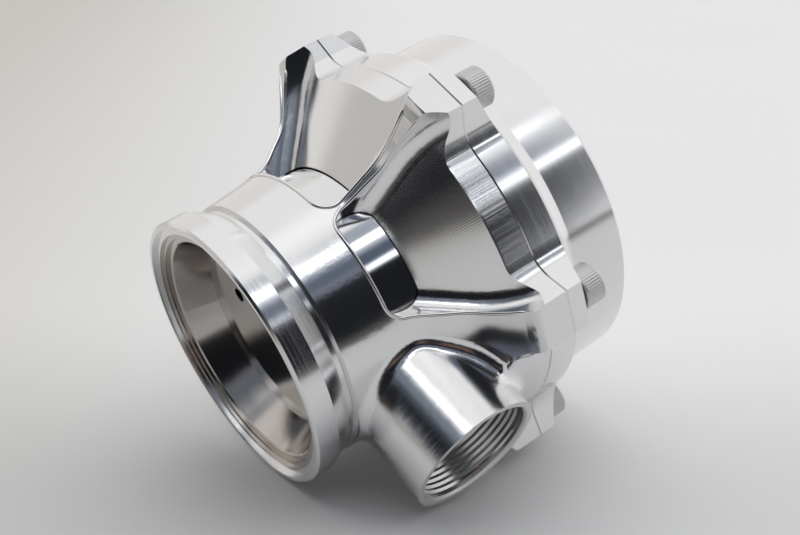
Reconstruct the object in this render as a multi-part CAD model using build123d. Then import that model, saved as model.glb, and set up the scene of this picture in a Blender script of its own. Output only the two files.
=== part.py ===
from build123d import *
from math import radians, sqrt, tan
import os

# Blow-off valve: a piston valve in a machined aluminium body. Charge air enters the V-band flange,
# lifts a spring-loaded piston off its seat and leaves by the windows between the ribs and by a
# threaded side port. All lengths are millimetres.
#
# Frame: the origin is the centre of the inlet face. +X runs along the valve axis from inlet to cap,
# and +Z is up as the valve lies on a bench, on its flange rim and two of its ears. Angles about the
# valve axis start at +Y and turn towards +Z.

os.makedirs("parts", exist_ok=True)

# Fits
running_fit = 0.05         # radial gap between sliding pieces
fit_gap = 0.05             # radial gap between pieces that are assembled and stay

# Main bore, with the seat at its front end
bore_r = 27.0
bore_corner = 1.6          # bevel between the seat and the bore
bore_relief = 0.25         # depth of the relief where the skirt passes the windows
relief_back = 2.6          # end of the relief in front of the skirt's seal
seat_width = 5.0           # from the seat's edge out to the bore
seat_land = 0.8

# Neck and inlet flange, drawn outwards from the bore
neck_wall = 1.7
rim_rise = 1.55            # V-band rim above the neck
rim_chamfer = 0.5
rim_width = 5.2            # straight part of the rim
bevel_length = 4.1         # clamp bevel behind the rim
bevel_fall = 2.15
relief_length = 1.1        # groove between the bevel and the neck
relief_fall = 0.3
relief_end = 0.6           # slope from the groove up to the neck
lip_width = 1.25           # raised lip on the face, and the steps inside it
register_width = 1.7
land_step = 1.1
mouth_step = 1.45
lip_depth = 0.9
register_depth = 1.5
land_depth = 2.2
mouth_chamfer = 0.3
seat_setback = 0.2         # seat behind the back of the relief groove

# Outside of the body: neck, flare, straight cone and rounded front of the ears
neck_length = 14.0
neck_rise = 1.4
flare_step1 = 5.6          # stations of the flare behind the end of the neck, and how far it has risen
flare_rise1 = 2.8
flare_step2 = 10.5
flare_rise2 = 6.6
flare_length = 13.6
cone_fall = 0.3            # start of the cone under the arcs between the ears
cone_length = 2.8
cone_rise = 4.6
crown_length = 3.6
ear_length = 5.3           # straight part of the ears on the body
edge_break = 0.2           # on the outline at the joint between body and cap

# Cap, drawn outwards from the bore that the actuator piston runs in
actuator_step = 8.0        # cylinder's radius beyond the main bore's
chamber_depth = 5.4        # front part of the actuator chamber, in the body
spigot_wall = 3.0
spigot_play = 0.4          # gap in front of the spigot
cap_seal_wire = 1.6
cap_seal_land = 1.8        # width of the cap seal's step
arc_wall = 1.9             # from the step out to the arcs between the ears
cap_wall = 4.0
cap_root_r = 4.5           # blend from plate to cap wall
cap_chamfer = 1.2
end_wall = 3.2
ear_plate = 3.8            # thickness of the cap's plate at the ears and between them
arc_plate = 7.1

# Ears and the scalloped outline that body and cap share
ear_count = 6
ear_height = 7.3           # flat ends of the ears beyond the arcs
ear_edge = 0.5             # ear beyond the spotface, to each side
ear_flank_slope = 0.33     # widening of the ear per millimetre inwards
ear_root_r = 6.5           # blend from ear to arc
blank_stock = 0.6          # turned blank beyond the ears

# Cap screws, M5 socket head
screw_r = 2.5
screw_setout = 2.5         # screw circle beyond the arcs
screw_length = 8.0
head_r = 4.25
head_length = 5.0
head_chamfer = 0.5
socket_flats = 4.0
socket_depth = 2.5
screw_play = 0.25          # radial gap round shank and head
spotface_height = 5.1      # seat of the heads behind the joint
tap_runout = 1.0           # tapped hole beyond the end of the screw

# Pockets between the ribs
window_setback = 11.6      # front wall of each window behind the start of the neck
window_length = 9.2        # from there to where the pocket's floor breaks into the bore
floor_length = 11.9        # from there to where the floor reaches the arcs
rib_half = 0.8             # half thickness of a rib's crest at the place where its walls are set out
rib_half_back = 1.4        # the same at the second place
rib_knee = 11.4            # where a rib widens into its ear, behind the front end of the pocket's floor
rib_flare_angle = 46.0     # direction of the rib's sides behind that
rib_flare_r = 16.0
cove_r = 4.0               # radius along the foot of a rib and in the window's front corners
port_wall_front = 4.4      # distance of a wall beside the port from the ear's middle plane
port_wall_back = 0.8
wall_start = 5.5           # the two places where the walls are set out, behind the port's axis
wall_end = 22.5

# Side port, threaded G 3/4
port_setback = 3.9         # port's axis behind the front wall of the windows
port_angle = 210.0
port_sink = 2.0            # port's rim inside the flat ends of the ears
port_thread_r = 12.7       # mean of the thread's inner and outer radius
port_wall = 1.85
port_shoulder = 2.2        # step from the thread to the way into the bore
port_thread_depth = 14.0
port_blend_r = 3.0
port_chamfer = 0.5

# Seals and guide strip in the body
seal_wire = 2.2            # section of the skirt seal
groove_side = 0.15         # gap on each side of the skirt seal
guide_width = 2.8
guide_thickness = 1.2
guide_setback = 0.8        # strip in front of the chamber's floor
seal_setback = 1.9         # middle of the seal's groove in front of the strip

# Valve piston
piston_wall = 3.5
piston_floor = 3.0
face_bevel = 1.8
throat_wall = 8.45         # skirt's wall at its thick back end
throat_length = 7.0
bleed_r = 1.6
bleed_circle = 12.1
bleed_angle = 24.0
seat_seal_setout = 1.6     # middle of the seal ring beyond the seat's edge
seat_seal_width = 1.6
seat_seal_depth = 1.5

# Actuator piston on the back of the skirt
travel = 19.1
disc_gap = 0.7             # disc behind the chamber's floor with the valve closed
disc_thickness = 5.4
disc_recess = 1.5          # depth that the skirt stands into the disc
ring_land = 0.5
wear_width = 1.6
wear_thickness = 1.5
disc_seal_wire = 2.0
groove_play = 0.1          # width of a groove beyond its ring
ring_gap = 0.02            # gap round a seal or strip in its groove
joint_wire = 1.3
joint_setback = 1.4        # middle of the joint seal inside the skirt's wall
piston_screw_setout = 4.1  # screw circle beyond the throat
piston_screw_r = 1.5
piston_screw_length = 6.0
piston_head_r = 2.75
piston_head_length = 2.0
piston_socket_flats = 2.0
piston_socket_depth = 1.1

# Springs, what they stand on, and the stop
pilot_r = 6.4              # bosses that centre the inner spring, on the cap and on the piston
cap_pilot = 5.0
piston_pilot = 2.5
spring_play = 0.2          # inner spring round its pilots, and spring seat inside the throat
seat_ring_thickness = 1.2
seat_ring_edge = 0.8       # spring seat beyond the outer spring
seat_ring_lip = 0.7        # spring seat inside the outer spring
shim_thickness = 1.0
outer_wire = 2.6
outer_turns = 8.5
inner_wire = 2.0
inner_turns = 11.5
stop_thickness = 1.2       # rubber stop ring on the end wall
stop_width = 5.5
stop_setback = 2.5         # stop ring inside the cylinder's wall
stop_gap = 0.1             # left between disc and stop ring at the end of the stroke

# Signal fitting on the end of the cap, in a tapped 1/8 pipe thread
signal_r = 4.4
signal_depth = 6.2
signal_way_r = 2.0
signal_spot_depth = 0.5    # spotface round the fitting
signal_spot_play = 0.5
signal_seal_thickness = 1.0
fitting_hex = 12.0         # across flats
fitting_hex_length = 3.5
fitting_play = 0.8         # left in front of the fitting's thread
tail_length = 9.5
tail_r = 2.4
tail_way_r = 1.4
barb_rise = 0.6
barb_length = 2.2
barb_count = 3
barb_gap = 0.8

# Places along the axis that follow
bevel_end_x = rim_width + bevel_length
relief_x = bevel_end_x + relief_length
neck_x = relief_x + relief_end
seat_x = relief_x + seat_setback
neck_end_x = neck_x + neck_length
cone_x = neck_end_x + flare_length
cone_top_x = cone_x + cone_length
crown_x = cone_top_x + crown_length
seam_x = crown_x + ear_length
bore_end_x = seam_x - chamber_depth
window_x = neck_x + window_setback
floor_x = window_x + window_length
floor_top_x = floor_x + floor_length
port_x = window_x + port_setback
guide_x = bore_end_x - guide_setback - guide_width
skirt_seal_x = guide_x - seal_setback
piston_floor_x = seat_x + piston_floor
disc_x = bore_end_x + disc_gap
disc_back_x = disc_x + disc_thickness
skirt_back_x = disc_x + disc_recess
spigot_x = bore_end_x + spigot_play
ear_back_x = seam_x + ear_plate
plate_back_x = seam_x + arc_plate
spotface_x = seam_x + spotface_height
cap_wall_x = disc_back_x + travel + stop_gap + stop_thickness
cap_end_x = cap_wall_x + end_wall

# Radii that follow
seat_r = bore_r - seat_width
neck_r = bore_r + neck_wall
flange_r = neck_r + rim_rise
bevel_end_r = flange_r - bevel_fall
relief_r = bevel_end_r - relief_fall
lip_r = flange_r - lip_width
register_r = lip_r - register_width
land_r = register_r - land_step
inlet_r = land_r - mouth_step
neck_end_r = neck_r + neck_rise
cylinder_r = bore_r + actuator_step
spigot_r = cylinder_r + spigot_wall
cap_r = cylinder_r + cap_wall
cap_groove_r = spigot_r + cap_seal_land
arc_r = cap_groove_r + arc_wall
ear_flat = arc_r + ear_height
blank_r = ear_flat + blank_stock
cone_r = arc_r - cone_fall
screw_circle = arc_r + screw_setout
clearance_r = screw_r + screw_play
spotface_r = head_r + screw_play
ear_half_width = spotface_r + ear_edge
port_r = port_thread_r + port_wall
port_way_r = port_thread_r - port_shoulder
port_reach = ear_flat - port_sink
skirt_r = bore_r - running_fit
throat_r = skirt_r - throat_wall
seat_seal_r = seat_r + seat_seal_setout
joint_seal_r = skirt_r - joint_setback
disc_r = cylinder_r - running_fit
piston_screw_circle = throat_r + piston_screw_setout
seat_ring_r = throat_r - spring_play
outer_mean_r = seat_ring_r - seat_ring_edge - outer_wire / 2
seat_ring_bore_r = outer_mean_r - outer_wire / 2 - seat_ring_lip
inner_mean_r = pilot_r + spring_play + inner_wire / 2
stop_r = cylinder_r - stop_setback
signal_seal_r = fitting_hex / 2
signal_spot_r = fitting_hex / sqrt(3) + signal_spot_play
barb_r = tail_r + barb_rise

# Other values that follow
ear_step = 360 / ear_count
ear_angles = [k * ear_step for k in range(ear_count)]
mid_angles = [angle + ear_step / 2 for angle in ear_angles]
floor_slope = (arc_r - bore_r) / floor_length
tapped_depth = screw_length - spotface_height + tap_runout
far = 120.0                # longer than anything in the model
overrun = 1.0              # how far a cut is drawn past the face where it ends


def along(x, length, radius):
    """A cylinder on the valve axis, from x."""
    bar = Cylinder(radius, length, align=(Align.CENTER, Align.CENTER, Align.MIN))
    return Pos(x, 0, 0) * Rot(0, 90, 0) * bar


def tube(x, length, outer, inner):
    return along(x, length, outer) - along(x, length, inner)


def turned(points, corner=None, radius=0.0):
    """A turned solid from a closed outline of (x, radius) points, with one corner rounded."""
    face = make_face(Polyline(*points, close=True))
    if corner:
        nearest = face.vertices().sort_by_distance(Vector(*corner))[0]
        face = fillet(nearest, radius)
    return revolve(face, Axis.X)


def wire_ring(x, radius, wire):
    """An O-ring round the valve axis."""
    return Pos(x, 0, 0) * Rot(0, 90, 0) * Torus(radius, wire / 2)


def at_circle(piece, radius, angle):
    """The piece moved out from the axis to a place on a circle round it."""
    return Rot(angle, 0, 0) * Pos(0, radius, 0) * piece


def ring_of(piece, radius, angles):
    """Copies of the piece round the valve axis."""
    return [at_circle(piece, radius, angle) for angle in angles]


def outline(x, length):
    """The scalloped outline with its ears, extruded along the axis."""
    shape = Circle(arc_r)
    root_half = ear_half_width + ear_flank_slope * ear_flat
    for angle in ear_angles:
        ear = Polyline(
            (0, -root_half), (ear_flat, -ear_half_width), (ear_flat, ear_half_width), (0, root_half), close=True
        )
        shape += Rot(0, 0, angle) * make_face(ear)
    middle_r = (arc_r + ear_flat) / 2
    corners = [v for v in shape.vertices() if Vector(v.X, v.Y, 0).length < middle_r]
    shape = fillet(corners, ear_root_r)
    # The sketch's X and Y become the model's Y and Z.
    upright = Plane(origin=(x, 0, 0), x_dir=(0, 1, 0), z_dir=(1, 0, 0))
    return extrude(upright * shape, length)


def broken(solid, x):
    """The solid with its sharp edges in the plane at x chamfered."""
    edges = [edge for edge in solid.edges() if abs(edge.center().X - x) < 0.001]
    return chamfer(edges, edge_break)


def port_bar(start, length, radius):
    """A cylinder on the side port's axis, from a distance to the valve axis."""
    bar = Cylinder(radius, length, align=(Align.CENTER, Align.CENTER, Align.MIN))
    return Rot(port_angle, 0, 0) * Pos(port_x, start, 0) * Rot(-90, 0, 0) * bar


def is_boss_edge(edge):
    """True for an edge where the boss of the side port meets the turned body."""
    point = edge @ 0.5
    middle = (Rot(-port_angle, 0, 0) * Pos(*point)).position
    off_axis = sqrt((middle.X - port_x) ** 2 + middle.Z ** 2)
    return abs(off_axis - port_r) < 0.01 and middle.Y < port_reach - 0.01


def body_outside():
    """The turned outside of the body with the boss of the side port."""
    flange = turned([
        (0, 0),
        (0, flange_r - rim_chamfer),
        (rim_chamfer, flange_r),
        (rim_width, flange_r),
        (bevel_end_x, bevel_end_r),
        (bevel_end_x, relief_r),
        (relief_x, relief_r),
        (neck_x, neck_r),
        (neck_x + 1, neck_r),
        (neck_x + 1, 0),
    ])
    # The neck is drawn on past the flange, so that the boss blends into it there too, and then cut.
    neck_way = Vector(neck_length, neck_rise)
    cone_way = Vector(cone_length, cone_rise)
    front_r = neck_r - neck_x * neck_rise / neck_length
    front = Polyline((0, 0), (0, front_r), (neck_end_x, neck_end_r))
    flare = Spline(
        (neck_end_x, neck_end_r),
        (neck_end_x + flare_step1, neck_end_r + flare_rise1),
        (neck_end_x + flare_step2, neck_end_r + flare_rise2),
        (cone_x, cone_r),
        tangents=(neck_way, cone_way),
    )
    cone_top = Vector(cone_x, cone_r) + cone_way
    cone = Line((cone_x, cone_r), cone_top)
    crown = Spline(cone_top, (crown_x, blank_r), tangents=(cone_way, Vector(1, 0)))
    back = Polyline((crown_x, blank_r), (seam_x, blank_r), (seam_x, 0), (0, 0))
    neck = revolve(make_face(front + flare + cone + crown + back), Axis.X)
    boss_start = bore_r / 2
    boss = port_bar(boss_start, port_reach - boss_start, port_r)
    joined = (neck & broken(along(0, seam_x, arc_r), seam_x)) + boss
    root_edges = [edge for edge in joined.edges() if is_boss_edge(edge) and edge.geom_type != GeomType.LINE]
    joined = fillet(root_edges, port_blend_r)
    joined += neck & broken(outline(neck_x, seam_x - neck_x), seam_x)
    return (joined & along(neck_x, far, far)) + flange


def body_inside():
    """The turned inside of the body: face steps, inlet, seat, main bore and actuator chamber."""
    groove_front = skirt_seal_x - seal_wire / 2 - groove_side
    groove_back = skirt_seal_x + seal_wire / 2 + groove_side
    return turned([
        (-1, 0),
        (-1, lip_r),
        (lip_depth, lip_r),
        (lip_depth, register_r),
        (register_depth, register_r),
        (register_depth, land_r),
        (land_depth, land_r),
        (land_depth, inlet_r + mouth_chamfer),
        (land_depth + mouth_chamfer, inlet_r),
        (seat_x - seat_land, seat_r),
        (seat_x, seat_r),
        (seat_x, bore_r + bore_relief - bore_corner),
        (seat_x + bore_corner, bore_r + bore_relief),
        (skirt_seal_x - relief_back - bore_relief, bore_r + bore_relief),
        (skirt_seal_x - relief_back, bore_r),
        (groove_front, bore_r),
        (groove_front, bore_r + seal_wire),
        (groove_back, bore_r + seal_wire),
        (groove_back, bore_r),
        (guide_x, bore_r),
        (guide_x, bore_r + guide_thickness),
        (guide_x + guide_width, bore_r + guide_thickness),
        (guide_x + guide_width, bore_r),
        (bore_end_x, bore_r),
        (bore_end_x, spigot_r + fit_gap),
        (seam_x - cap_seal_wire, spigot_r + fit_gap),
        (seam_x - cap_seal_wire, cap_groove_r),
        (seam_x + 1, cap_groove_r),
        (seam_x + 1, 0),
    ])


def flank(ear_angle, side, near_port, corner_r):
    """The space beyond one flank of the rib on an ear, back from the window's front wall.

    side is +1 or -1 for the side of the rib. A flank beside the port leans away from it. The
    upright corner at the front wall is rounded where corner_r isn't 0.
    """
    front = port_wall_front if near_port else rib_half
    back = port_wall_back if near_port else rib_half_back
    slope = (back - front) / (wall_end - wall_start)
    start_x = window_x if corner_r else window_x - overrun
    knee_x = floor_x + rib_knee
    start_y = side * (front + slope * (start_x - port_x - wall_start))
    knee_y = side * (front + slope * (knee_x - port_x - wall_start))
    plan = Polyline(
        (start_x, start_y),
        (knee_x, knee_y),
        (far, knee_y + side * (far - knee_x) * tan(radians(rib_flare_angle))),
        (start_x, side * 2 * far),
        close=True,
    )
    face = make_face(plan)
    knee = face.vertices().sort_by_distance(Vector(knee_x, knee_y))[0]
    face = fillet(knee, rib_flare_r)
    if corner_r:
        face = fillet(face.vertices().sort_by_distance(Vector(start_x, start_y))[0], corner_r)
    # The plan's Y runs across the ear's middle plane.
    outward = Plane(origin=(0, 0, 0), x_dir=(1, 0, 0), z_dir=(0, -1, 0))
    block = extrude(outward * face, amount=far, dir=(0, 1, 0))
    return Rot(ear_angle, 0, 0) * block


def is_foot(edge):
    """True for an edge where a flank stands on the conical floor."""
    point = edge @ 0.5
    floor_r = bore_r + floor_slope * (point.X - floor_x)
    off_floor = abs(sqrt(point.Y ** 2 + point.Z ** 2) - floor_r)
    return off_floor < 0.001 and edge.geom_type != GeomType.CIRCLE


def pocket(ear_angle):
    """What is milled out between the rib on this ear and the rib on the next one."""
    next_angle = ear_angle + ear_step
    first_near = abs(ear_angle - port_angle) < ear_step
    second_near = abs(next_angle - port_angle) < ear_step
    low_x = window_x - overrun
    high_x = seam_x + overrun
    low_r = bore_r - floor_slope * (floor_x - low_x)
    high_r = bore_r + floor_slope * (high_x - floor_x)
    ring = turned([(low_x, low_r), (high_x, high_r), (high_x, far / 2), (low_x, far / 2)])
    wedge = ring & flank(ear_angle, 1, first_near, 0) & flank(next_angle, -1, second_near, 0)
    wedge = fillet([edge for edge in wedge.edges() if is_foot(edge)], cove_r)
    return wedge & flank(ear_angle, 1, first_near, cove_r) & flank(next_angle, -1, second_near, cove_r)


def hexagon(flats, x, length):
    """A hexagonal bar on the valve axis, from x."""
    upright = Plane(origin=(x, 0, 0), x_dir=(0, 1, 0), z_dir=(1, 0, 0))
    return extrude(upright * RegularPolygon(flats / 2, 6, major_radius=False), length)


def screw(x, length, shank_r, top_r, top_length, edge, flats, depth):
    """A socket screw on the X axis, with its head's underside at x and its shank towards -X."""
    tip = shank_r / 2
    solid = turned([
        (x - length, 0),
        (x - length, shank_r - tip),
        (x - length + tip, shank_r),
        (x, shank_r),
        (x, top_r - edge / 2),
        (x + edge / 2, top_r),
        (x + top_length - edge, top_r),
        (x + top_length, top_r - edge),
        (x + top_length, 0),
    ])
    return solid - hexagon(flats, x + top_length - depth, depth + 1)


def spring(front_x, back_x, mean_r, wire, turns):
    """A compression spring whose wire touches the two planes at its ends."""
    rise = back_x - front_x - wire
    coil = Helix(pitch=rise / turns, height=rise, radius=mean_r)
    start = Plane(origin=coil @ 0, z_dir=coil % 0)
    body = sweep(start * Circle(wire / 2), path=coil, is_frenet=True)
    return Pos(front_x + wire / 2, 0, 0) * Rot(0, 90, 0) * body


# Body
valve_body = body_outside()
for angle in ear_angles:
    if not angle < port_angle < angle + ear_step:
        valve_body -= pocket(angle)
valve_body -= body_inside()
valve_body -= port_bar(0, port_reach + 1, port_way_r)
valve_body -= port_bar(port_reach - port_thread_depth, port_thread_depth + 1, port_thread_r)
mouth = Cone(port_thread_r, port_thread_r + port_chamfer, port_chamfer)
valve_body -= Rot(port_angle, 0, 0) * Pos(port_x, port_reach - port_chamfer / 2, 0) * Rot(-90, 0, 0) * mouth
tapped_hole = along(seam_x - tapped_depth, tapped_depth + 1, screw_r)
valve_body -= ring_of(tapped_hole, screw_circle, ear_angles)

# Cap. The back of the plate falls from the cap's wall to the ears.
plate_slope = (plate_back_x - ear_back_x) / ear_height
plate_corner_x = plate_back_x + plate_slope * (arc_r - cap_r)
actuator_cap = turned(
    [
        (spigot_x, cylinder_r),
        (spigot_x, spigot_r),
        (seam_x, spigot_r),
        (seam_x, blank_r),
        (ear_back_x - plate_slope * (blank_r - ear_flat), blank_r),
        (plate_corner_x, cap_r),
        (cap_end_x - cap_chamfer, cap_r),
        (cap_end_x, cap_r - cap_chamfer),
        (cap_end_x, signal_spot_r),
        (cap_end_x - signal_spot_depth, signal_spot_r),
        (cap_end_x - signal_spot_depth, signal_r),
        (cap_end_x - signal_depth, signal_r),
        (cap_end_x - signal_depth, signal_way_r),
        (cap_wall_x - cap_pilot, signal_way_r),
        (cap_wall_x - cap_pilot, pilot_r),
        (cap_wall_x, pilot_r),
        (cap_wall_x, cylinder_r),
    ],
    corner=(plate_corner_x, cap_r),
    radius=cap_root_r,
)
scalloped = broken(outline(seam_x, cap_end_x - seam_x), seam_x)
actuator_cap &= scalloped + along(spigot_x - overrun, seam_x - spigot_x + 2 * overrun, cap_groove_r)
clearance_hole = along(seam_x - 1, spotface_x - seam_x + 2, clearance_r)
actuator_cap -= ring_of(clearance_hole, screw_circle, ear_angles)
actuator_cap -= ring_of(along(spotface_x, far, spotface_r), screw_circle, ear_angles)

# Screws and seals between body and cap, and the seal and strip that guide the skirt
cap_screw = screw(
    spotface_x, screw_length, screw_r - fit_gap, head_r, head_length, head_chamfer, socket_flats, socket_depth
)
cap_screws = ring_of(cap_screw, screw_circle, ear_angles)
cap_seal = wire_ring(seam_x - cap_seal_wire / 2, (spigot_r + cap_groove_r) / 2, cap_seal_wire - fit_gap)
skirt_seal = wire_ring(skirt_seal_x, bore_r + seal_wire / 2 - ring_gap, seal_wire - 2 * ring_gap)
skirt_guide_band = tube(guide_x, guide_width, bore_r + guide_thickness, bore_r - ring_gap)

# Valve piston, closed on the seat
joint_groove = joint_wire + groove_play
valve_piston = turned([
    (seat_x, 0),
    (seat_x, seat_seal_r - seat_seal_width / 2),
    (seat_x + seat_seal_depth, seat_seal_r - seat_seal_width / 2),
    (seat_x + seat_seal_depth, seat_seal_r + seat_seal_width / 2),
    (seat_x, seat_seal_r + seat_seal_width / 2),
    (seat_x, skirt_r - face_bevel),
    (seat_x + face_bevel, skirt_r),
    (skirt_back_x, skirt_r),
    (skirt_back_x, joint_seal_r + joint_groove / 2),
    (skirt_back_x - joint_groove, joint_seal_r + joint_groove / 2),
    (skirt_back_x - joint_groove, joint_seal_r - joint_groove / 2),
    (skirt_back_x, joint_seal_r - joint_groove / 2),
    (skirt_back_x, throat_r),
    (skirt_back_x - throat_length, throat_r),
    (skirt_back_x - throat_length - piston_wall, skirt_r - piston_wall),
    (piston_floor_x, skirt_r - piston_wall),
    (piston_floor_x, pilot_r),
    (piston_floor_x + piston_pilot, pilot_r),
    (piston_floor_x + piston_pilot, 0),
])
valve_piston -= at_circle(along(seat_x - 1, piston_floor + 2, bleed_r), bleed_circle, bleed_angle)
screw_seat_x = disc_back_x - piston_head_length - groove_play
piston_hole_depth = piston_screw_length - (screw_seat_x - skirt_back_x) + piston_screw_r / 2
piston_hole = along(skirt_back_x - piston_hole_depth, piston_hole_depth + 1, piston_screw_r)
valve_piston -= ring_of(piston_hole, piston_screw_circle, mid_angles)
seat_seal = tube(
    seat_x, seat_seal_depth, seat_seal_r + seat_seal_width / 2 - ring_gap, seat_seal_r - seat_seal_width / 2 + ring_gap
)
joint_seal = wire_ring(skirt_back_x - joint_wire / 2, joint_seal_r, joint_wire)

# Actuator piston
wear_front = disc_x + ring_land
wear_back = wear_front + wear_width + groove_play
seal_back = disc_back_x - ring_land
seal_front = seal_back - disc_seal_wire - groove_play
actuator_piston = turned([
    (disc_x, skirt_r + fit_gap),
    (disc_x, disc_r),
    (wear_front, disc_r),
    (wear_front, cylinder_r - wear_thickness),
    (wear_back, cylinder_r - wear_thickness),
    (wear_back, disc_r),
    (seal_front, disc_r),
    (seal_front, cylinder_r - disc_seal_wire),
    (seal_back, cylinder_r - disc_seal_wire),
    (seal_back, disc_r),
    (disc_back_x, disc_r),
    (disc_back_x, throat_r),
    (skirt_back_x, throat_r),
    (skirt_back_x, skirt_r + fit_gap),
])
shank_way = along(skirt_back_x - 1, disc_thickness, piston_screw_r + fit_gap)
head_way = along(screw_seat_x, disc_thickness, piston_head_r + groove_play)
actuator_piston -= ring_of(shank_way, piston_screw_circle, mid_angles)
actuator_piston -= ring_of(head_way, piston_screw_circle, mid_angles)
actuator_seal = wire_ring(
    (seal_front + seal_back) / 2, cylinder_r - disc_seal_wire / 2, disc_seal_wire - 2 * ring_gap
)
actuator_guide_band = tube(
    wear_front + groove_play / 2, wear_width, cylinder_r - ring_gap, cylinder_r - wear_thickness + ring_gap
)
piston_screw = screw(
    screw_seat_x, piston_screw_length, piston_screw_r - fit_gap, piston_head_r, piston_head_length, groove_play,
    piston_socket_flats, piston_socket_depth,
)
piston_screws = ring_of(piston_screw, piston_screw_circle, mid_angles)

# Springs, what they stand on, and the stop
spring_back_x = cap_wall_x - shim_thickness
outer_front_x = piston_floor_x + seat_ring_thickness
spring_seat = tube(piston_floor_x, seat_ring_thickness, seat_ring_r, seat_ring_bore_r)
spring_shim = tube(spring_back_x, shim_thickness, seat_ring_r, pilot_r + fit_gap)
outer_spring = spring(outer_front_x, spring_back_x, outer_mean_r, outer_wire, outer_turns)
inner_spring = spring(piston_floor_x, spring_back_x, inner_mean_r, inner_wire, inner_turns)
bump_stop = tube(cap_wall_x - stop_thickness, stop_thickness, stop_r, stop_r - stop_width)

# Signal fitting: thread, hexagon and hose tail, on its sealing washer
signal_seat_x = cap_end_x - signal_spot_depth
hex_x = signal_seat_x + signal_seal_thickness
hex_back_x = hex_x + fitting_hex_length
tail_end_x = hex_back_x + tail_length
thread_end_x = cap_end_x - signal_depth + fitting_play
barb_pitch = (tail_length - barb_gap) / barb_count
fitting_points = [
    (thread_end_x, tail_way_r),
    (thread_end_x, signal_r - fit_gap),
    (hex_back_x, signal_r - fit_gap),
    (hex_back_x, tail_r),
]
for k in range(barb_count):
    barb_x = hex_back_x + barb_gap + k * barb_pitch
    fitting_points += [(barb_x, tail_r), (barb_x, barb_r), (barb_x + barb_length, tail_r)]
fitting_points += [(tail_end_x, tail_r), (tail_end_x, tail_way_r)]
signal_fitting = turned(fitting_points) + (
    hexagon(fitting_hex, hex_x, fitting_hex_length) - along(hex_x - 1, far, tail_way_r)
)
signal_seal = tube(signal_seat_x, signal_seal_thickness, signal_seal_r, signal_r)

nodes = {
    "valve_body": valve_body,
    "actuator_cap": actuator_cap,
    "cap_screws": cap_screws,
    "cap_seal": cap_seal,
    "skirt_seal": skirt_seal,
    "skirt_guide_band": skirt_guide_band,
    "spring_shim": spring_shim,
    "bump_stop": bump_stop,
    "signal_fitting": signal_fitting,
    "signal_seal": signal_seal,
    "valve_piston": valve_piston,
    "seat_seal": seat_seal,
    "spring_seat": spring_seat,
    "actuator_piston": actuator_piston,
    "actuator_seal": actuator_seal,
    "actuator_guide_band": actuator_guide_band,
    "joint_seal": joint_seal,
    "piston_screws": piston_screws,
    "outer_spring": outer_spring,
    "inner_spring": inner_spring,
}
for name, shape in nodes.items():
    piece = Compound(children=shape) if isinstance(shape, list) else shape
    export_step(piece, f"parts/{name}.step")
    print(name, round(piece.volume, 1), piece.is_valid, len(piece.solids()))
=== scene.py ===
# %% [markdown]
# # A machined blow-off valve
#
# This lesson dresses a finished CAD model of a blow-off valve: a body and cap turned and milled from
# aluminium, with a polished piston behind five open windows. The CAD nodes keep their shapes, and
# Blender adds the surfaces: turning lines, mill marks, knurls, rubber and brass, with the light that
# makes bare metal readable. All lengths in the scene are metres, and the part's own frame is used:
# +X runs along the valve axis from the inlet to the cap, and the inlet face is at x = 0.

# %% Load the model
import math

import bmesh
import bpy
from mathutils import Matrix, Vector


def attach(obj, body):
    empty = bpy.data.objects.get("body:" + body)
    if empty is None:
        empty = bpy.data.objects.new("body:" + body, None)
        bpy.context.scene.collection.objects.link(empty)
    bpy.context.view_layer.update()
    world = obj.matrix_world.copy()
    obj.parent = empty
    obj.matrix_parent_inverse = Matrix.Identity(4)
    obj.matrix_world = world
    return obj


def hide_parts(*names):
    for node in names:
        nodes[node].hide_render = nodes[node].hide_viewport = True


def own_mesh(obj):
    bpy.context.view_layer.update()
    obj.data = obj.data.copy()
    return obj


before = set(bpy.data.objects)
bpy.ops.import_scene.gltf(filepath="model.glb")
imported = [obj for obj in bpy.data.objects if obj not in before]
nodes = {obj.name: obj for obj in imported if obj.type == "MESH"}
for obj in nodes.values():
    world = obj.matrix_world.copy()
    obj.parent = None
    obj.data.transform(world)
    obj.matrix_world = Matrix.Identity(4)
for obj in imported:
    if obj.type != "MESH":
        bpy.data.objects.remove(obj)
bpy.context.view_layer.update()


print("CAD nodes:", sorted(nodes))

# %% [markdown]
# ## The camera
#
# A photograph is matched from its camera. This one stands in front of the inlet and to the left of
# the valve, a little under 30 cm away, and looks down on it. Its place and its three directions come
# from the six ears, which stand at equal angles round the axis and so fix the view. A camera in
# Blender looks along its own -Z, with +Y up in the picture.

# %% Camera
photo_width = 800
focal_pixels = 1367
camera_place = Vector((-0.08033, -0.22813, 0.14392))
picture_right = Vector((0.78087, -0.57747, -0.23826))
picture_up = Vector((0.46632, 0.28507, 0.83742))
backwards = Vector((-0.41567, -0.76502, 0.49190))

camera_data = bpy.data.cameras.new("camera")
camera_data.sensor_width = 36.0
camera_data.lens = focal_pixels * camera_data.sensor_width / photo_width
camera_data.clip_start = 0.01
camera_data.clip_end = 50.0
camera = bpy.data.objects.new("camera", camera_data)
turn = Matrix((picture_right, picture_up, backwards)).transposed()
camera.matrix_world = Matrix.Translation(camera_place) @ turn.to_4x4()
bpy.context.scene.collection.objects.link(camera)
bpy.context.scene.camera = camera
print("lens", round(camera_data.lens, 2), "mm")

# %% [markdown]
# ## The table
#
# The valve lies on the rim of its inlet flange and on two ears, so its axis points up at an angle and
# the table isn't level in the model's frame. The table's upward direction and its distance below
# the origin come from those three points of contact.

# %% Table
table_up = Vector((0.296, 0.006, 0.955)).normalized()
table_drop = 0.0293
table_turn = Vector((0, 0, 1)).rotation_difference(table_up)


def deselect():
    bpy.ops.object.select_all(action="DESELECT")


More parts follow.
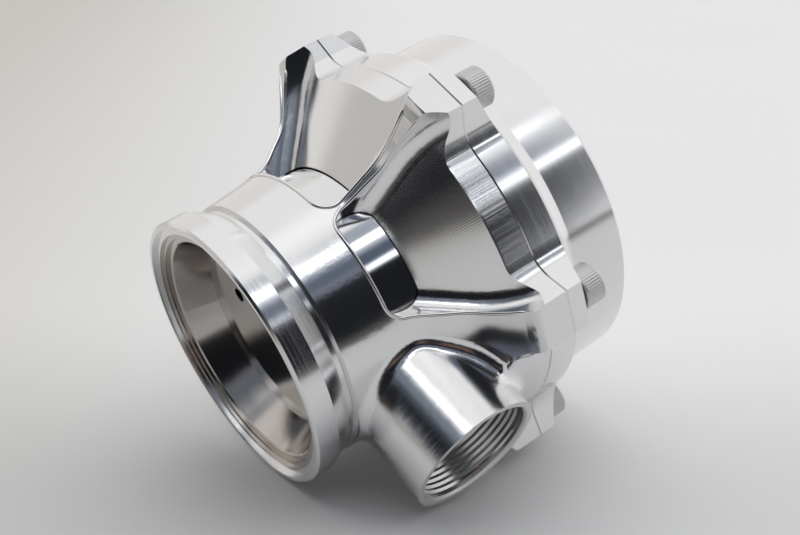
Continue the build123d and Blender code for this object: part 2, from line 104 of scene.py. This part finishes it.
deselect()
bpy.ops.mesh.primitive_plane_add(size=12.0, location=-table_drop * table_up, rotation=table_turn.to_euler())
table = bpy.context.object
table.name = "table"

# %% [markdown]
# ## Sums made of nodes
#
# Every finish here is a sum: so much of a ring pattern where the lathe cut, so much of a mill pattern
# where the cutter ran. Written as separate nodes such sums are hard to read, so one small class wraps
# a socket and lets Python's own signs add the Math nodes. A second class holds one material and adds
# any other node by its type, its settings and its inputs.

# %% Socket maths
class Value:
    """A shader socket that can stand in a Python sum."""

    def __init__(self, finish, socket):
        self.finish = finish
        self.socket = socket

    def math(self, operation, *inputs):
        return self.finish.node("ShaderNodeMath", {"operation": operation}, inputs)

    def __add__(self, other):
        return self.math("ADD", self, other)

    __radd__ = __add__

    def __mul__(self, other):
        return self.math("MULTIPLY", self, other)

    __rmul__ = __mul__

    def __sub__(self, other):
        return self.math("SUBTRACT", self, other)

    def __rsub__(self, other):
        return self.math("SUBTRACT", other, self)

    def __mod__(self, other):
        return self.math("FLOORED_MODULO", self, other)

    def __abs__(self):
        return self.math("ABSOLUTE", self)

    def sine(self):
        return self.math("SINE", self)

    def cosine(self):
        return self.math("COSINE", self)

    def root(self):
        return self.math("SQRT", self)

    def angle_with(self, other):
        """The angle of the point (other, self), in radians."""
        return self.math("ARCTAN2", self, other)

    def rises(self, low, high):
        """0 below low, 1 above high and a smooth step between."""
        settings = {"interpolation_type": "SMOOTHSTEP"}
        return self.finish.node("ShaderNodeMapRange", settings, [self, low, high, 0.0, 1.0])

    def between(self, low, high, edge):
        """1 between low and high, 0 outside them, with smooth steps that are twice the edge wide."""
        return self.rises(low - edge, low + edge) * (1 - self.rises(high - edge, high + edge))


class Finish:
    """One material, built from node() and Value sums. Lengths in it are millimetres."""

    def __init__(self, name):
        self.material = bpy.data.materials.new(name)
        self.material.use_nodes = True
        self.tree = self.material.node_tree
        self.surface = self.tree.nodes["Principled BSDF"]
        place = self.node("ShaderNodeTexCoord", output="Object")
        split = self.node("ShaderNodeSeparateXYZ", inputs=[place], output=None)
        self.place = place
        self.x, self.y, self.z = (Value(self, socket) * 1000 for socket in split.outputs)

    def node(self, kind, settings=None, inputs=(), output=0):
        """Adds a node. inputs is a list, or a dict by name or number. Returns one output as a Value."""
        made = self.tree.nodes.new(kind)
        for key, setting in (settings or {}).items():
            setattr(made, key, setting)
        pairs = inputs.items() if isinstance(inputs, dict) else enumerate(inputs)
        for key, given in pairs:
            if isinstance(given, Value):
                self.tree.links.new(given.socket, made.inputs[key])
            else:
                made.inputs[key].default_value = given
        return made if output is None else Value(self, made.outputs[output])

    def lines(self, along, per_mm, detail=2.0):
        """Uneven parallel lines across a coordinate, from 0 to 1."""
        settings = {"noise_dimensions": "1D"}
        return self.node("ShaderNodeTexNoise", settings, {"W": along * per_mm, "Detail": detail}, "Fac")

    def clouds(self, size_mm, detail=3.0):
        """Soft patches of about that size, from 0 to 1."""
        inputs = {"Vector": self.place, "Scale": 1000 / size_mm, "Detail": detail}
        return self.node("ShaderNodeTexNoise", None, inputs, "Fac")

    def waves(self, along, pitch_mm):
        """Even ridges across a coordinate, from 0 to 1."""
        return (along * (2 * math.pi / pitch_mm)).sine() * 0.5 + 0.5

    def blend(self, share, first, second):
        """A colour between two others."""
        inputs = {0: share, 6: first, 7: second}
        return self.node("ShaderNodeMix", {"data_type": "RGBA"}, inputs, 2)

    def pick(self, share, first, second):
        """A number between two others."""
        return second * share + first * (1 - share)

    def set(self, **sockets):
        """Sets the surface's own sockets: numbers and colours are values, and Values are links."""
        for key, given in sockets.items():
            socket = self.surface.inputs[key.replace("_", " ").title()]
            if isinstance(given, Value):
                self.tree.links.new(given.socket, socket)
            else:
                socket.default_value = given
        return self

    def relief(self, height_mm):
        """Bends the surface's normal by a height in millimetres."""
        inputs = {"Strength": 1.0, "Distance": 0.001, "Height": height_mm}
        bump = self.node("ShaderNodeBump", None, inputs, "Normal")
        self.tree.links.new(bump.socket, self.surface.inputs["Normal"])
        return self

    def put_on(self, *pieces):
        """Gives the pieces this material and no other."""
        for piece in pieces:
            piece.data.materials.clear()
            piece.data.materials.append(self.material)
        return self


# %% [markdown]
# ## The finish of the body
#
# The body is bare aluminium, and what tells its faces apart is how each was cut. The flange and neck
# were turned, so they carry fine rings round the valve axis. The rings are deepest on the flange, and
# the neck is mottled besides. The boss of the side port was cut round its own axis. The floors of the
# pockets between the ribs show the even steps of a ball cutter that ran from the neck to the ears, and
# the scalloped wall of the ears shows upright lines. Each pattern needs to know where it is, so masks
# are worked out from the piece's own coordinates: x along the axis, the distance from the axis, and
# the distance from the axis of the side port. The bore is painted darker and a little brown, which is
# painted shade and a painted brown reflection, and the port's thread is greyer.

# %% Places on the body
port_x = 26.5
port_angle = math.radians(210)
port_radius = 14.55
port_hole_radius = 12.7
bore_radius = 27.0
neck_radius = 28.0
flange_end_x = 11.0
floor_x = 31.8
floor_radius = 27.0
floor_slope = 1.235
scallop_radius = 41.7
ear_step = math.radians(60)


def radius_of(finish):
    """Distance from the valve axis."""
    return (finish.y * finish.y + finish.z * finish.z).root()


def port_places(finish):
    """Distance along the side port's axis, and distance from that axis."""
    along = finish.y * math.cos(port_angle) + finish.z * math.sin(port_angle)
    aside = finish.z * math.cos(port_angle) - finish.y * math.sin(port_angle)
    off_x = finish.x - port_x
    return along, (off_x * off_x + aside * aside).root()


# %% Body finish
body_metal = Finish("body_aluminium")
x = body_metal.x
radius = radius_of(body_metal)
port_along, port_off = port_places(body_metal)
turn_angle = body_metal.z.angle_with(body_metal.y)

on_boss = (1 - port_off.rises(port_radius + 0.2, port_radius + 1.2)) * port_along.rises(30.5, 31.5)
above_floor = radius - (floor_radius + floor_slope * (x - floor_x))
on_floor = (1 - abs(above_floor).rises(0.15, 0.6)) * x.rises(31.0, 31.6)
on_side = radius.rises(scallop_radius - 0.6, scallop_radius - 0.2) * x.rises(43.5, 44.5)
on_turned = (1 - on_boss) * (1 - on_floor) * (1 - on_side)
outside_turned = radius.rises(neck_radius - 0.4, neck_radius - 0.1) * on_turned
on_flange = (1 - x.rises(flange_end_x - 1.5, flange_end_x + 1.5)) * outside_turned
on_neck = x.rises(flange_end_x, flange_end_x + 3.0) * (1 - x.rises(26.0, 30.0)) * outside_turned
in_bore = 1 - radius.rises(bore_radius + 0.1, bore_radius + 0.5)
in_port = (1 - port_off.rises(port_hole_radius + 0.2, port_hole_radius + 0.4)) * port_along.rises(20, 21)

rings = body_metal.lines(x, 2.2)
face_rings = body_metal.lines(radius, 2.6)
boss_rings = body_metal.lines(port_along, 2.4, 6.0)
floor_steps = body_metal.waves(turn_angle * floor_radius, 0.34)
upright = body_metal.lines(turn_angle * scallop_radius, 2.2, 4.0)
grain = body_metal.clouds(0.5)
mottle = body_metal.clouds(0.9)
relief = (
    (rings + face_rings * 0.5) * (on_turned * 0.0045 + on_flange * 0.0060)
    + mottle * on_neck * 0.0150
    + boss_rings * on_boss * 0.0080
    + floor_steps * on_floor * 0.0030
    + upright * on_side * 0.0110
    + grain * 0.0014
)
patches = body_metal.clouds(9.0)
roughness = 0.11 + patches * 0.05 + on_floor * 0.03 + in_port * 0.08 + on_flange * 0.02
colour = body_metal.blend(patches, (0.80, 0.80, 0.80, 1), (0.86, 0.86, 0.865, 1))
# painted shade and a painted brown reflection: the bore's colour is darker and a little brown
colour = body_metal.blend(in_bore, colour, (0.52, 0.485, 0.455, 1))
colour = body_metal.blend(in_port, colour, (0.66, 0.655, 0.65, 1))
body_metal.set(base_color=colour, metallic=1.0, roughness=roughness).relief(relief)
body_metal.put_on(nodes["valve_body"])

# %% [markdown]
# ## The cap and the pistons
#
# The cap's wall has fine turned rings, which draw every reflection out along the axis into a band. The
# skirt of the piston slides on a seal, so it is polished nearly to a mirror.

# %% Cap and piston finishes
cap_metal = Finish("cap_aluminium")
cap_radius = radius_of(cap_metal)
cap_rings = cap_metal.lines(cap_metal.x, 3.5) + cap_metal.lines(cap_radius, 3.5)
cap_patches = cap_metal.clouds(14.0)
cap_metal.set(
    base_color=cap_metal.blend(cap_patches, (0.82, 0.82, 0.82, 1), (0.87, 0.87, 0.875, 1)),
    metallic=1.0,
    roughness=0.12 + cap_patches * 0.05,
)
cap_metal.relief(cap_rings * 0.0025)
cap_metal.put_on(nodes["actuator_cap"])

piston_metal = Finish("piston_aluminium")
piston_rings = piston_metal.lines(piston_metal.x, 3.0) + piston_metal.lines(radius_of(piston_metal), 3.0)
piston_patches = piston_metal.clouds(12.0)
piston_metal.set(
    base_color=piston_metal.blend(piston_patches, (0.76, 0.76, 0.76, 1), (0.83, 0.83, 0.83, 1)),
    metallic=1.0,
    roughness=0.06 + piston_patches * 0.04,
)
piston_metal.relief(piston_rings * 0.0012)
piston_metal.put_on(nodes["valve_piston"], nodes["actuator_piston"])

# %% [markdown]
# ## Screws
#
# The heads are grey steel with a knurled side. The six screws are one node, so the knurl first needs
# the angle round the screw that it is on: the turn round the valve axis is folded into one sector, and
# the place is then measured from that sector's screw.

# %% Screw finish
screw_circle = 44.2
head_x = 55.4
head_end_x = 60.4
head_radius = 4.25
knurl_count = 48
knurl_depth = 0.07

steel = Finish("screw_steel")
steel_radius = radius_of(steel)
sector = (steel.z.angle_with(steel.y) + ear_step / 2) % ear_step - ear_step / 2
from_screw = steel_radius * sector.cosine() - screw_circle
beside_screw = steel_radius * sector.sine()
round_screw = beside_screw.angle_with(from_screw)
off_screw = (from_screw * from_screw + beside_screw * beside_screw).root()
on_knurl = off_screw.rises(head_radius - 0.25, head_radius - 0.1) * steel.x.between(
    head_x + 0.5, head_end_x - 0.6, 0.1
)
knurl = (round_screw * knurl_count).sine() * 0.5 + 0.5
steel_patches = steel.clouds(3.0)
steel.set(
    base_color=steel.blend(steel_patches, (0.60, 0.60, 0.59, 1), (0.70, 0.70, 0.69, 1)),
    metallic=1.0,
    roughness=0.34 + steel_patches * 0.10,
)
steel.relief(knurl * on_knurl * knurl_depth + steel.lines(off_screw, 6.0) * 0.002)
steel.put_on(nodes["cap_screws"], nodes["piston_screws"])

# %% [markdown]
# ## Rubber, strip, springs and brass
#
# These pieces are inside the valve or behind it. Rubber is nearly black and matt, the guide strips
# are a filled brown plastic, and the springs and their rings are dark drawn steel. The hose fitting is
# turned brass.

# %% Small finishes
rubber = Finish("seal_rubber")
rubber_patches = rubber.clouds(1.5)
rubber.set(
    base_color=rubber.blend(rubber_patches, (0.018, 0.018, 0.019, 1), (0.035, 0.035, 0.036, 1)),
    roughness=0.55 + rubber_patches * 0.2,
)
rubber.relief(rubber_patches * 0.01)
seals = ("cap_seal", "skirt_seal", "seat_seal", "joint_seal", "actuator_seal", "bump_stop")
rubber.put_on(*(nodes[name] for name in seals))

strip = Finish("guide_plastic")
strip_patches = strip.clouds(0.8)
strip.set(
    base_color=strip.blend(strip_patches, (0.22, 0.13, 0.07, 1), (0.33, 0.21, 0.12, 1)),
    roughness=0.45 + strip_patches * 0.15,
)
strip.relief(strip.lines(strip.x, 5.0) * 0.004)
strip.put_on(*(nodes[name] for name in ("skirt_guide_band", "actuator_guide_band", "signal_seal")))

spring_metal = Finish("spring_steel")
spring_patches = spring_metal.clouds(2.0)
spring_metal.set(
    base_color=spring_metal.blend(spring_patches, (0.22, 0.23, 0.25, 1), (0.34, 0.35, 0.37, 1)),
    metallic=1.0,
    roughness=0.30 + spring_patches * 0.12,
)
spring_metal.relief(spring_metal.clouds(0.4) * 0.004)
spring_metal.put_on(*(nodes[name] for name in ("spring_seat", "spring_shim", "outer_spring", "inner_spring")))

brass = Finish("fitting_brass")
brass_patches = brass.clouds(3.0)
brass.set(
    base_color=brass.blend(brass_patches, (0.70, 0.50, 0.22, 1), (0.80, 0.60, 0.30, 1)),
    metallic=1.0,
    roughness=0.22 + brass_patches * 0.12,
)
brass.relief(brass.lines(brass.x, 4.0) * 0.003)
brass.put_on(nodes["signal_fitting"])

# %% [markdown]
# ## Winding
#
# The thread of the port and both springs are made in the same way. A flat section is drawn once, a
# Screw modifier winds it round Z, and the faces that meet are then joined into one closed skin.

# %% Winding
def flat_section(name, sides, section_radius, place=(0, 0, 0)):
    """A flat section that stands upright, ready to be wound round Z."""
    deselect()
    upright = (math.pi / 2, 0, 0)
    bpy.ops.mesh.primitive_circle_add(
        vertices=sides, radius=section_radius, fill_type="NGON", rotation=upright, location=place
    )
    piece = bpy.context.object
    piece.name = name
    bpy.ops.object.transform_apply(location=True, rotation=True, scale=True)
    return piece


def wind(piece, turns, pitch, steps_per_turn):
    """Winds the active piece's section into a coil."""
    winding = piece.modifiers.new("winding", "SCREW")
    winding.angle = 2 * math.pi * turns
    winding.screw_offset = pitch * turns
    winding.steps = int(steps_per_turn * turns)
    winding.render_steps = winding.steps
    bpy.ops.object.modifier_apply(modifier="winding")


def join_up(gap):
    """Merges the active piece's points that lie closer than the gap, and turns its faces outwards."""
    bpy.ops.object.mode_set(mode="EDIT")
    bpy.ops.mesh.select_all(action="SELECT")
    bpy.ops.mesh.remove_doubles(threshold=gap)
    bpy.ops.mesh.normals_make_consistent(inside=False)
    bpy.ops.object.mode_set(mode="OBJECT")


# %% [markdown]
# ## The thread of the side port
#
# The CAD model has a plain bore where the thread is, at the thread's mean radius. A thread is one
# ridge wound round the bore, and its section is a small wedge standing out of the bore's wall. Each end
# of the ridge runs out into the wall.

# %% Port thread
port_thread_radius = port_hole_radius / 1000
thread_crest_radius = 0.0123
thread_sunk = 0.00005
thread_pitch = 0.00127
thread_width_share = 0.92
thread_bottom = 0.0334
thread_top = 0.0463
thread_turns = (thread_top - thread_bottom) / thread_pitch - 1
run_out_turns = 0.5
lowest_share = 0.02
port_frame = (
    Matrix.Rotation(port_angle, 4, "X")
    @ Matrix.Translation((port_x / 1000, 0, 0))
    @ Matrix.Rotation(-math.pi / 2, 4, "X")
)

port_thread = flat_section("port_thread", 4, thread_pitch / 2)
wall_radius = port_thread_radius + thread_sunk
for vertex in port_thread.data.vertices:
    side = vertex.co.x / (thread_pitch / 2)
    vertex.co.x = thread_crest_radius if side < -0.5 else wall_radius
    vertex.co.z = vertex.co.z * thread_width_share + thread_bottom + thread_pitch / 2
wind(port_thread, thread_turns, thread_pitch, 96)
for vertex in port_thread.data.vertices:
    off = math.hypot(vertex.co.x, vertex.co.y)
    if off < port_thread_radius - thread_sunk:
        turns_in = (vertex.co.z - thread_bottom) / thread_pitch - 0.5
        share = min(1, turns_in / run_out_turns, (thread_turns - turns_in) / run_out_turns)
        scale = (wall_radius - (wall_radius - thread_crest_radius) * max(share, lowest_share)) / off
        vertex.co.x *= scale
        vertex.co.y *= scale
join_up(0.000002)
port_thread.data.transform(port_frame)
bpy.ops.object.shade_smooth_by_angle(angle=math.radians(35))
body_metal.put_on(port_thread)
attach(port_thread, "housing")
print("port thread:", len(port_thread.data.polygons), "faces")

# %% [markdown]
# ## The rims of the windows
#
# The CAD model leaves the pockets' outer edges sharp. On the real body they are rolled over, and the
# rolled edge is the bright line that draws each window and rib. The edges are picked out of the body's
# own mesh: outward corners between the windows' front wall and the ears, outside the neck and clear of
# the side port. They become a curve, and a round section along it becomes the rim, thinner at its ends.

# %% Window rims
window_x = 22.6
rim_end_x = 43.4
rim_lowest = neck_radius - 0.1
rim_highest = 47.0
rim_corner = math.radians(35)
rim_radius = 0.00040
rim_end_share = 0.3


def on_window_rim(edge):
    """True for an edge of the body where a pocket opens in its outside."""
    if not edge.is_convex or edge.calc_face_angle(0.0) < rim_corner:
        return False
    for vertex in edge.verts:
        x, y, z = 1000 * vertex.co
        aside = z * math.cos(port_angle) - y * math.sin(port_angle)
        if not window_x - 0.01 < x < rim_end_x:
            return False
        if not rim_lowest < math.hypot(y, z) < rim_highest:
            return False
        if math.hypot(x - port_x, aside) < port_radius + 1 and y < 0 and z < 0:
            return False
    return True


rim_mesh = bmesh.new()
rim_mesh.from_mesh(nodes["valve_body"].data)
bmesh.ops.remove_doubles(rim_mesh, verts=rim_mesh.verts, dist=0.000001)
rim_edges = {edge for edge in rim_mesh.edges if on_window_rim(edge)}
other_edges = [edge for edge in rim_mesh.edges if edge not in rim_edges]
bmesh.ops.delete(rim_mesh, geom=list(rim_mesh.faces), context="FACES_ONLY")
bmesh.ops.delete(rim_mesh, geom=other_edges, context="EDGES")
print("rim edges:", len(rim_edges))
rim_data = bpy.data.meshes.new("window_rims")
rim_mesh.to_mesh(rim_data)
rim_mesh.free()
window_rims = bpy.data.objects.new("window_rims", rim_data)
bpy.context.scene.collection.objects.link(window_rims)
deselect()
window_rims.select_set(True)
bpy.context.view_layer.objects.active = window_rims
bpy.ops.object.convert(target="CURVE")
window_rims.data.bevel_depth = rim_radius
window_rims.data.bevel_resolution = 2
window_rims.data.use_fill_caps = True
for spline in window_rims.data.splines:
    if not spline.use_cyclic_u:
        spline.points[0].radius = rim_end_share
        spline.points[-1].radius = rim_end_share
bpy.ops.object.convert(target="MESH")
bpy.ops.object.shade_smooth_by_angle(angle=math.radians(50))
body_metal.put_on(window_rims)
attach(window_rims, "housing")
print("window rims:", len(window_rims.data.polygons), "faces")

# %% [markdown]
# ## The springs
#
# A spring shortens when the valve opens, which a rigid CAD node can't do. So each is wound here again
# from a round section and stands for its CAD node, which is hidden.

# %% Springs
spring_back = 0.0704


def wound_spring(name, front, mean_radius, wire_radius, turns):
    """A spring from its front end to the shim, with its middle line at the mean radius."""
    length = spring_back - front
    piece = flat_section(name, 16, wire_radius, (mean_radius, 0, 0))
    wind(piece, turns, (length - 2 * wire_radius) / turns, 48)
    join_up(0.00001)
    stand = Matrix.Translation((front + wire_radius, 0, 0)) @ Matrix.Rotation(math.pi / 2, 4, "Y")
    piece.data.transform(stand)
    bpy.ops.object.shade_smooth_by_angle(angle=math.radians(40))
    spring_metal.put_on(piece)
    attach(piece, "housing")
    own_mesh(piece)
    return piece


outer_coil = wound_spring("outer_coil", 0.0148, 0.0162, 0.0013, 8.5)
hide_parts("outer_spring")
inner_coil = wound_spring("inner_coil", 0.0136, 0.0076, 0.0010, 11.5)
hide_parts("inner_spring")

# %% [markdown]
# ## The table's finish
#
# The table is covered with matt, nearly white board. Its colour carries painted shade: it is greyer
# near the camera, and darker and yellower towards the left. The board ends in front of the camera's
# view, and past it the table is painted dark, so that the faces that look down at the camera's side
# mirror that painted dark.

# %% Table finish
toward_camera = (backwards - backwards.dot(table_up) * table_up).normalized()
to_the_right = table_up.cross(toward_camera)
board_reach = 240
near_shade = 0.19
board_edge = 25

table_finish = Finish("table_white")


def distance_along(way):
    """How far a place on the table lies from its middle in a level direction, in millimetres."""
    level = table.matrix_world.to_3x3().transposed() @ way
    return table_finish.x * level.x + table_finish.y * level.y


reach = distance_along(toward_camera)
leftward = distance_along(-to_the_right)
table_patches = table_finish.clouds(120.0)
white = table_finish.blend(table_patches, (0.86, 0.86, 0.86, 1), (0.88, 0.88, 0.88, 1))
# painted shade: the board is darker and yellower towards the left
board = table_finish.blend(leftward.rises(-60, 220), white, (0.63, 0.605, 0.56, 1))
# painted shade: the board is darker near the camera
painted_shade_near = reach.rises(-110, 20) * near_shade
board = table_finish.blend(painted_shade_near, board, (0.0, 0.0, 0.0, 1))
# painted dark past the board, which the metal's lower faces mirror as a dark reflection
painted_dark_past_board = reach.rises(board_reach - board_edge, board_reach + board_edge)
table_finish.set(base_color=table_finish.blend(painted_dark_past_board, board, (0.05, 0.045, 0.04, 1)), roughness=0.6)
table_finish.put_on(table)

# %% [markdown]
# ## The room
#
# Bare metal shows its surroundings, so the room matters as much as the finish. Behind the valve and to
# its right there are white walls, and overhead a white ceiling. The camera's side is dark up to about
# 40 degrees over the table, with bluish grey over it, and that dark side is what draws the edges of the
# metal. A row of ceiling lights over it gives every round part one narrow highlight, a lower light on
# the right gives the cap a second one, and a small patch of warm brown stands low on the camera's side.
# The places and strengths were found by trial, by comparing the metal's tones with the photograph's.
#
# The world's shader works with two angles in degrees: the bearing, which is 0 towards the camera and 90
# to the right in the picture, and the height over the table. Each area covers what stands before it in
# the list.

# %% World
world = bpy.data.worlds.new("studio")
world.use_nodes = True
bpy.context.scene.world = world
bpy.context.scene.view_settings.view_transform = "Standard"


class Studio(Finish):
    """The world's nodes. Angles are in degrees."""

    def __init__(self, world):
        self.tree = world.node_tree
        self.surface = self.tree.nodes["Background"]
        self.place = self.node("ShaderNodeTexCoord", output="Generated")
        towards, right, up = (self.part_along(axis) for axis in (toward_camera, to_the_right, table_up))
        self.bearing = right.angle_with(towards) * math.degrees(1)
        self.height = up.math("ARCSINE", up) * math.degrees(1)

    def part_along(self, axis):
        """How far the direction of view runs along an axis, from -1 to 1."""
        return self.node("ShaderNodeVectorMath", {"operation": "DOT_PRODUCT"}, [self.place, axis], "Value")


studio = Studio(world)
bearing = studio.bearing
height = studio.height
low = 1 - height.rises(34, 44)
middle = height.between(39, 54, 5)
plain = (1.0, 1.0, 1.0, 1)
cream = (1.0, 0.97, 0.94, 1)
pale_blue = (0.70, 0.82, 1.0, 1)
lamp_white = (0.97, 0.98, 1.0, 1)
areas = (
    # where it is, how bright it is and its colour: first the ceiling and the two walls on the left
    (height.rises(72, 84) * bearing.between(-120, 80, 20), 1.08, plain),
    (bearing.between(-175, -112, 8) * low, 0.80, cream),
    (bearing.between(-112, -68, 8) * low, 0.57, cream),
    # the grey over the camera's side
    (bearing.between(-78, 4, 7) * middle, 0.24, pale_blue),
    (bearing.between(4, 65, 3) * middle, 0.17, (0.60, 0.72, 1.0, 1)),
    (bearing.between(26, 66, 4) * height.between(62, 74, 2), 0.50, (0.80, 0.88, 1.0, 1)),
    # the row of ceiling lights
    (bearing.between(-60, 66, 4) * height.between(57, 63, 1.5), 2.6, lamp_white),
    # the dark of the camera's side, which is a little lighter on its left
    (bearing.between(-66, 67, 3) * low, 0.016, (0.72, 0.80, 1.0, 1)),
    (bearing.between(-84, -50, 4) * height.between(30, 42, 3), 0.13, pale_blue),
    # the lower light and the patch of warm brown
    (bearing.between(50, 72, 3) * height.between(37, 42, 1.5), 1.8, lamp_white),
    (bearing.between(14, 30, 4) * height.between(5, 24, 4), 0.15, (1.0, 0.62, 0.50, 1)),
)
light = 0.90
tint = plain
for share, area_light, area_tint in areas:
    light = studio.pick(share, light, area_light)
    tint = studio.blend(share, tint, area_tint)
studio.tree.links.new(tint.socket, studio.surface.inputs["Color"])
studio.tree.links.new(light.socket, studio.surface.inputs["Strength"])

# %% [markdown]
# ## The lamp
#
# One wide lamp hangs over the back of the table. It throws the soft shadow that lies in front of the
# valve. The metal mirrors the room's ceiling there and not the lamp, which would burn out its tops.

# %% Lamp
lamp_bearing = math.radians(140)
lamp_height = math.radians(68)
lamp_distance = 1.2
valve_middle = Vector((0.03, 0, 0))

level = toward_camera * math.cos(lamp_bearing) + to_the_right * math.sin(lamp_bearing)
lamp_way = level * math.cos(lamp_height) + table_up * math.sin(lamp_height)
lamp_data = bpy.data.lights.new("overhead", "AREA")
lamp_data.size = 1.8
lamp_data.energy = 4.2
lamp = bpy.data.objects.new("overhead", lamp_data)
lamp.location = valve_middle + lamp_way * lamp_distance
lamp.rotation_euler = lamp_way.to_track_quat("Z", "Y").to_euler()
lamp.visible_glossy = False
bpy.context.scene.collection.objects.link(lamp)
